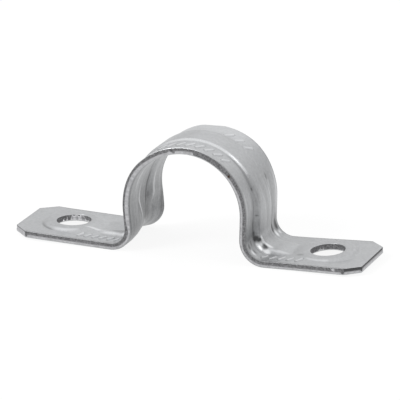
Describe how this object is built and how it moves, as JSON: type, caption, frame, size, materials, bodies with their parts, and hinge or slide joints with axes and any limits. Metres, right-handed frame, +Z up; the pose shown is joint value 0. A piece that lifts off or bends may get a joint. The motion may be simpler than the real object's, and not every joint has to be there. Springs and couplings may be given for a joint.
{
  "type": "conduit strap",
  "caption": "Stamped and folded steel strap that arches over a conduit and is screwed down through a round hole in each flat foot, with a stiffening rib along its middle.",
  "frame": {"origin": "middle of the strap on the mounting plane that its two heels stand on", "axes": "+X along the strap towards one foot's tip, +Y across the strap along the conduit, +Z up away from the mounting surface"},
  "size_m": [0.0842, 0.0206, 0.0266],
  "materials": {
    "zinc_steel": "satin zinc-coated steel sheet, bare sheared edges"
  },
  "bodies": {
    "root": {"conduit_strap": "zinc_steel"}
  },
  "joints": []
}
